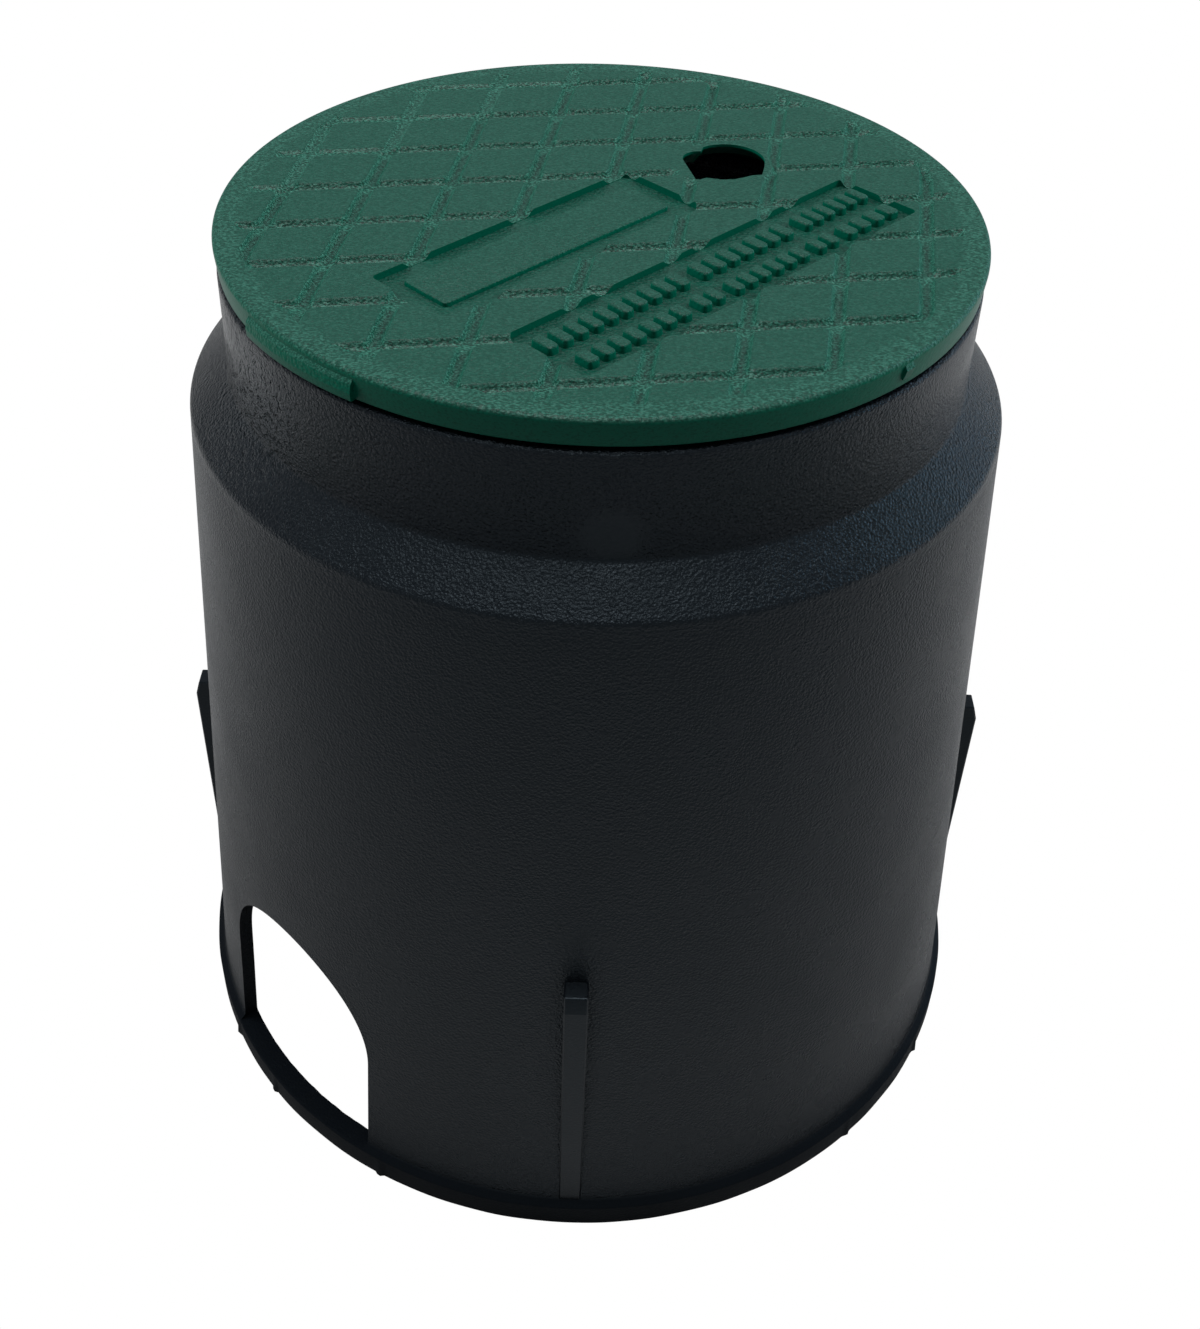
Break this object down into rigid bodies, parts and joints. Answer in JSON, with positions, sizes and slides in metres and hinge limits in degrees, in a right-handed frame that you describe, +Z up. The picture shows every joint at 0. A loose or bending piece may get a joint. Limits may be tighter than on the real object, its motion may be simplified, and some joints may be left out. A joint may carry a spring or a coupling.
{
  "type": "irrigation valve box",
  "caption": "Small round moulded valve box with flared wall, foot flange, pipe openings and a green tread lid with a lift hole.",
  "frame": {"origin": "centre of the round foot, on the ground", "axes": "+Z up along the box axis; +X to the right and -Y towards the viewer of the picture, so that a pipe opening faces -X -Y"},
  "size_m": [0.2164, 0.2164, 0.2289],
  "materials": {
    "black_plastic": "pebbled, slightly glossy",
    "green_plastic": "fine grain, satin"
  },
  "bodies": {
    "box": {"box_body": "black_plastic"},
    "lid": {"lid": "green_plastic"}
  },
  "joints": [
    {"name": "lid_lift", "type": "slide", "parent": "box", "child": "lid", "axis": [0, 0, 1], "range_m": [0, 0.15]}
  ]
}
